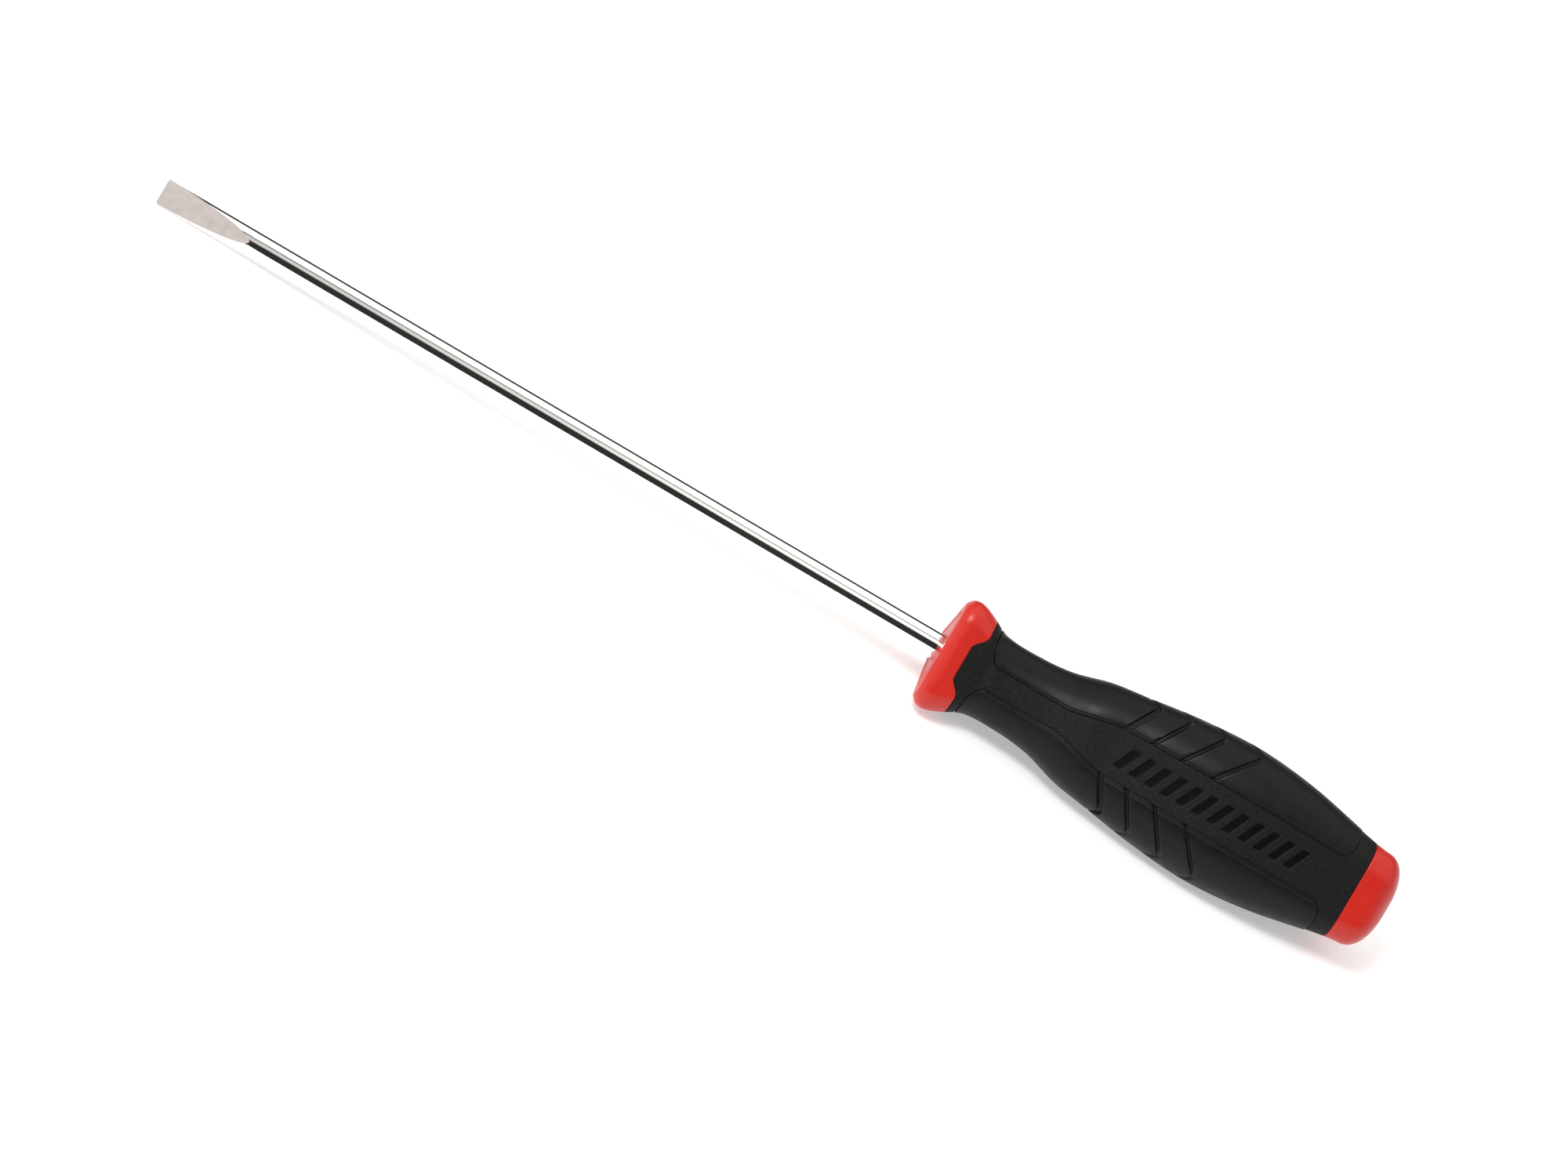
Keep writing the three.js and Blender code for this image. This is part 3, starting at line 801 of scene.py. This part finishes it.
def satin_material():
    material, nodes, links, shader = new_material("ground_tip", (0.54, 0.49, 0.472), 0.43, 1.0)
    grind = noise(nodes, links, 2600, 3, (1, 0.08, 1))
    mottle = noise(nodes, links, 700, 3)
    links.new(remap(nodes, links, mottle, 0.41, 0.45), shader.inputs["Roughness"])
    colour = blend_colours(nodes, links, remap(nodes, links, mottle, 0, 1),
                           (0.528, 0.478, 0.459), (0.558, 0.505, 0.485))
    links.new(colour, shader.inputs["Base Color"])
    bump(nodes, links, shader, [(grind, 0.01 * MM, 0.5)])
    return material


def red_material():
    material, nodes, links, shader = new_material("red_plastic_skin", (0.505, 0.014, 0.0065), 0.37,
                                                  Specular_IOR_Level=0.4)
    clouds = noise(nodes, links, 90, 3)
    peel = noise(nodes, links, 1500, 1)
    scuffs = noise(nodes, links, 420, 2, (1, 0.4, 1))
    colour = blend_colours(nodes, links, remap(nodes, links, clouds, 0, 1),
                           (0.485, 0.0130, 0.0060), (0.525, 0.0150, 0.0070))
    links.new(colour, shader.inputs["Base Color"])
    links.new(remap(nodes, links, scuffs, 0.34, 0.41), shader.inputs["Roughness"])
    bump(nodes, links, shader, [(peel, 0.006 * MM, 0.25)])
    return material


def grip_material():
    material, nodes, links, shader = new_material("black_grip_skin", (0.006, 0.006, 0.006), 0.58,
                                                  Specular_IOR_Level=0.17)
    speckle = noise(nodes, links, 1900, 2)
    coarse = noise(nodes, links, 1100, 3)
    colour = blend_colours(nodes, links, remap(nodes, links, speckle, 0, 1),
                           (0.0028, 0.0027, 0.0027), (0.0095, 0.0091, 0.0091))
    links.new(colour, shader.inputs["Base Color"])
    links.new(remap(nodes, links, coarse, 0.52, 0.66), shader.inputs["Roughness"])
    bump(nodes, links, shader, [(coarse, 0.03 * MM, 0.25), (speckle, 0.09 * MM, 1.0)])
    return material


def recess_shade_material():
    """Floors of the pressed bars: the same rubber, left smooth by the mould, with a darker colour
    that is painted shade in the recesses.
    """
    material, nodes, links, shader = new_material("black_recess_painted_shade_skin", (0.002, 0.002, 0.002), 0.5,
                                                  Specular_IOR_Level=0.08)
    soft = noise(nodes, links, 900, 2)
    # Darker than the grip's colour: painted shade at the bottoms of the bars.
    colour = blend_colours(nodes, links, remap(nodes, links, soft, 0, 1),
                           (0.0014, 0.0013, 0.0013), (0.0024, 0.0023, 0.0023))
    links.new(colour, shader.inputs["Base Color"])
    links.new(remap(nodes, links, soft, 0.46, 0.56), shader.inputs["Roughness"])
    bump(nodes, links, shader, [(soft, 0.02 * MM, 0.3)])
    return material


def pad_material():
    material, nodes, links, shader = new_material("black_pad_skin", (0.005, 0.005, 0.005), 0.44,
                                                  Specular_IOR_Level=0.18)
    soft = noise(nodes, links, 350, 3)
    fine = noise(nodes, links, 2600, 2)
    colour = blend_colours(nodes, links, remap(nodes, links, soft, 0, 1),
                           (0.0036, 0.0034, 0.0034), (0.0058, 0.0055, 0.0054))
    links.new(colour, shader.inputs["Base Color"])
    links.new(remap(nodes, links, soft, 0.38, 0.50), shader.inputs["Roughness"])
    bump(nodes, links, shader, [(soft, 0.03 * MM, 0.2), (fine, 0.02 * MM, 0.35)])
    return material


def core_material():
    material, nodes, links, shader = new_material("core_plastic_skin", (0.3, 0.01, 0.02), 0.5)
    grain = noise(nodes, links, 900, 3)
    links.new(remap(nodes, links, grain, 0.42, 0.58), shader.inputs["Roughness"])
    bump(nodes, links, shader, [(grain, 0.04 * MM, 0.4)])
    return material


# ---- Pieces and the nodes they stand for ---------------------------------------------------

def place(piece, node):
    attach(piece, "root")
    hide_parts(node)


red, grip, pad = red_material(), grip_material(), pad_material()
place(blade([chrome_material(), satin_material()]), "blade")
place(front_collar([red]), "front_collar")
place(end_cap([red]), "end_cap")
place(grip_body([grip, recess_shade_material()]), "grip_body")
for lobe in range(LOBES):
    crest_angle = TOP_LOBE + lobe * LOBE_STEP
    neck = pad_piece(f"neck_pad_{lobe + 1}_visual", neck_pad_rows(), crest_angle, [pad])
    palm = pad_piece(f"palm_pad_{lobe + 1}_visual", palm_pad_rows(), crest_angle, [pad])
    place(neck, f"neck_pad_{lobe + 1}")
    place(palm, f"palm_pad_{lobe + 1}")
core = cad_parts["handle_core"]
core.data.materials.clear()
core.data.materials.append(core_material())


# ---- Floor, light and camera ---------------------------------------------------------------

def floor():
    """A pale floor that the palm swell and the tip both touch, so it leans a little."""
    widest_back = 75
    palm_x = (COLLAR_FRONT_X - widest_back) * MM
    tip_corner_radius = SHANK_RADIUS - 0.06
    tip_z = -tip_corner_radius * math.sin(math.pi / 3) * MM
    low = CAD_BOUNDS[0].z
    slope = (tip_z - low) / -palm_x
    size = 6.0
    corners = [(-size, -size), (size, -size), (size, size), (-size, size)]
    clearance = 0.1 * MM
    points = [(x, y, low + slope * (x - palm_x) - clearance) for x, y in corners]
    mesh = bpy.data.meshes.new("floor")
    mesh.from_pydata(points, [], [(0, 1, 2, 3)])
    obj = bpy.data.objects.new("floor", mesh)
    bpy.context.scene.collection.objects.link(obj)
    material, nodes, links, shader = new_material("pale_floor", (0.75, 0.75, 0.75), 0.7,
                                                  Emission_Strength=0.42)
    grain = noise(nodes, links, 40, 2)
    colour = blend_colours(nodes, links, remap(nodes, links, grain, 0, 1),
                           (0.745, 0.745, 0.745), (0.755, 0.755, 0.755))
    links.new(colour, shader.inputs["Base Color"])
    mesh.materials.append(material)


def camera():
    """Looks square at the +Y side flat, with the tip a little nearer and the tool running from
    the upper left down to the right. Gives the point that the camera aims at."""
    tip_towards_camera = math.radians(5)
    slope_in_picture = math.radians(30.46)
    distance = 3.0
    behind_tip = 0.1662  # where the middle of the picture falls, along the tool
    below_axis = 0.00614  # and across it
    height_angle = math.radians(31.2)
    flat = Vector((0, math.cos(height_angle), math.sin(height_angle)))
    towards = math.cos(tip_towards_camera) * flat + math.sin(tip_towards_camera) * Vector((1, 0, 0))
    towards.normalize()
    along = (Vector((-1, 0, 0)) - Vector((-1, 0, 0)).dot(towards) * towards).normalized()
    across = towards.cross(along)
    right = math.cos(slope_in_picture) * along + math.sin(slope_in_picture) * across
    up = towards.cross(right)
    aim = Vector((-behind_tip, 0, 0)) - below_axis * across
    data = bpy.data.cameras.new("camera")
    data.lens = 305.1
    data.sensor_width = 36
    data.clip_start, data.clip_end = 0.05, 50
    obj = bpy.data.objects.new("camera", data)
    bpy.context.scene.collection.objects.link(obj)
    rotation = Matrix((right, up, towards)).transposed()
    obj.matrix_world = Matrix.Translation(aim + distance * towards) @ rotation.to_4x4()
    bpy.context.scene.camera = obj
    return aim


def area_light(name, aim, direction, distance, size, power):
    data = bpy.data.lights.new(name, "AREA")
    data.shape = "DISK"
    data.size = size
    data.energy = power
    obj = bpy.data.objects.new(name, data)
    bpy.context.scene.collection.objects.link(obj)
    direction = direction.normalized()
    obj.location = aim + distance * direction
    obj.rotation_mode = "QUATERNION"
    obj.rotation_quaternion = direction.to_track_quat("Z", "Y")


# The room as seen from the tool: brightness at angles round the X axis, in degrees from +Y up
# through +Z.
ROOM_WHITE = 1.2


def room_middle(panel, line):
    """Stops for the room's middle: a dark side where the camera stands, a panel above it and a
    thin line above that, then white and a dark far side."""
    return [
        (-180, ROOM_WHITE), (-6, ROOM_WHITE), (-2, 0.03), (47, 0.03), (50, panel), (74, panel),
        (76, line), (82, line), (84, ROOM_WHITE), (142, ROOM_WHITE), (146, 0.04), (176, 0.04),
        (180, ROOM_WHITE),
    ]


ROOM_BEHIND = room_middle(panel=ROOM_WHITE, line=0.35)
ROOM_AHEAD = room_middle(panel=0.66, line=0.1)
# Further along the room's length there are streaks too, so that the chrome shows from every side.
ROOM_ENDS = [
    (-180, ROOM_WHITE), (-5, ROOM_WHITE), (0, 0.08), (32, 0.08), (38, 1.1), (66, ROOM_WHITE),
    (69, 0.4), (75, 0.4), (78, ROOM_WHITE), (126, ROOM_WHITE), (131, 0.08), (164, 0.08),
    (170, ROOM_WHITE), (180, ROOM_WHITE),
]
# Where each of them holds, by the X component of a direction.
MIDDLE_FROM_X, MIDDLE_TO_X, MIDDLE_FADE = -0.5, 0.27, 0.14
AHEAD_FROM_X, AHEAD_TO_X = -0.085, -0.06
TIP_END_FROM_X, TIP_END_TO_X = 0.84, 0.94  # plain white straight ahead of the tip


def node_step(nodes, links, value, low, high):
    """0 at low, 1 at high and smooth between. Low may be the greater of the two."""
    node = nodes.new("ShaderNodeMapRange")
    node.interpolation_type = "SMOOTHSTEP"
    node.inputs["From Min"].default_value = low
    node.inputs["From Max"].default_value = high
    links.new(value, node.inputs["Value"])
    return node.outputs["Result"]


def node_math(nodes, links, operation, *values):
    node = nodes.new("ShaderNodeMath")
    node.operation = operation
    for socket, value in zip(node.inputs, values):
        if isinstance(value, (int, float)):
            socket.default_value = value
        else:
            links.new(value, socket)
    return node.outputs[0]


def node_mix(nodes, links, factor, value_a, value_b):
    """value_a where the factor is 0, value_b where it is 1."""
    node = nodes.new("ShaderNodeMix")
    node.data_type = "FLOAT"
    links.new(factor, node.inputs["Factor"])
    links.new(value_a, node.inputs["A"])
    if isinstance(value_b, (int, float)):
        node.inputs["B"].default_value = value_b
    else:
        links.new(value_b, node.inputs["B"])
    return node.outputs["Result"]


def room_brightness(nodes, links, turn, stops):
    """Brightness round the X axis, from stops of (degrees, brightness)."""
    node = nodes.new("ShaderNodeValToRGB")
    links.new(turn, node.inputs["Fac"])
    elements = node.color_ramp.elements
    elements.remove(elements[-1])
    for i, (degrees, value) in enumerate(stops):
        position = degrees / 360 + 0.5
        stop = elements[0] if i == 0 else elements.new(position)
        stop.position = position
        stop.color = (value, value, value, 1)
    return node.outputs["Color"]


def studio_world():
    """A bright room with dark bands along its sides. Rays from the camera see plain white."""
    world = bpy.data.worlds.new("studio")
    bpy.context.scene.world = world
    world.use_nodes = True
    nodes, links = world.node_tree.nodes, world.node_tree.links
    nodes.clear()
    output = nodes.new("ShaderNodeOutputWorld")
    coords = nodes.new("ShaderNodeTexCoord")
    split = nodes.new("ShaderNodeSeparateXYZ")
    links.new(coords.outputs["Generated"], split.inputs["Vector"])
    x, y, z = split.outputs
    angle = node_math(nodes, links, "ARCTAN2", z, y)
    turn = node_math(nodes, links, "MULTIPLY_ADD", angle, 0.5 / math.pi, 0.5)
    after = node_step(nodes, links, x, MIDDLE_FROM_X - MIDDLE_FADE, MIDDLE_FROM_X + MIDDLE_FADE)
    before = node_step(nodes, links, x, MIDDLE_TO_X + MIDDLE_FADE, MIDDLE_TO_X - MIDDLE_FADE)
    middle = node_math(nodes, links, "MULTIPLY", after, before)
    tip_end = node_step(nodes, links, x, TIP_END_FROM_X, TIP_END_TO_X)
    ahead = node_step(nodes, links, x, AHEAD_FROM_X, AHEAD_TO_X)
    brightness = node_mix(nodes, links, ahead, room_brightness(nodes, links, turn, ROOM_BEHIND),
                          room_brightness(nodes, links, turn, ROOM_AHEAD))
    brightness = node_mix(nodes, links, middle, room_brightness(nodes, links, turn, ROOM_ENDS),
                          brightness)
    brightness = node_mix(nodes, links, tip_end, brightness, ROOM_WHITE)
    room = nodes.new("ShaderNodeBackground")
    links.new(brightness, room.inputs["Strength"])
    room.inputs["Color"].default_value = (1, 0.99, 0.965, 1)
    seen = nodes.new("ShaderNodeBackground")
    seen.inputs["Color"].default_value = (1, 1, 1, 1)
    path = nodes.new("ShaderNodeLightPath")
    mix = nodes.new("ShaderNodeMixShader")
    links.new(path.outputs["Is Camera Ray"], mix.inputs["Fac"])
    links.new(room.outputs["Background"], mix.inputs[1])
    links.new(seen.outputs["Background"], mix.inputs[2])
    links.new(mix.outputs["Shader"], output.inputs["Surface"])


floor()
aim = camera()
studio_world()
area_light("key", aim, Vector((0.3, 0.5, 0.8)), 1.6, 0.5, 17)
bpy.context.scene.view_settings.view_transform = "Standard"
